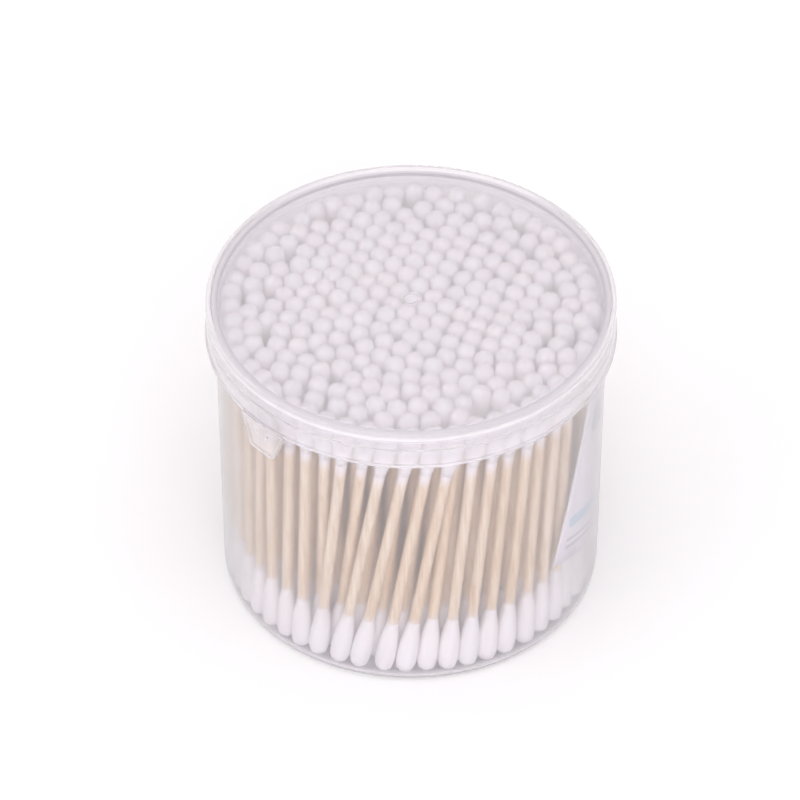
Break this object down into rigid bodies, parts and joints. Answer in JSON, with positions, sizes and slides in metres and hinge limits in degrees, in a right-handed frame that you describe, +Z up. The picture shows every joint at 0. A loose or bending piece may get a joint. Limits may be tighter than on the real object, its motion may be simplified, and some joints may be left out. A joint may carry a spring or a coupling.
{
  "type": "cotton swab tub",
  "caption": "Round frosted plastic tub with a lift-off lid and pull tab, packed upright with double-ended wooden cotton swabs, and a paper card inside the wall.",
  "frame": {"origin": "on the tub's axis, in the plane that its foot stands on", "axes": "+Z up along the tub's axis; -Y towards the front, where the swabs lean most; +X towards the middle of the paper card"},
  "size_m": [0.093, 0.093, 0.079],
  "materials": {
    "frosted_tub": "satin",
    "frosted_lid": "satin",
    "printed_card": "matte",
    "bamboo_stick": "matte",
    "wound_cotton": "matte"
  },
  "bodies": {
    "tub": {"tub": "frosted_tub", "label_card": "printed_card", "swab_sticks": "bamboo_stick", "upper_cotton_tips": "wound_cotton", "lower_cotton_tips": "wound_cotton"},
    "lid": {"lid": "frosted_lid"}
  },
  "joints": [
    {"name": "lid_lift", "type": "slide", "parent": "tub", "child": "lid", "axis": [0, 0, 1], "range_m": [0, 0.06]}
  ]
}
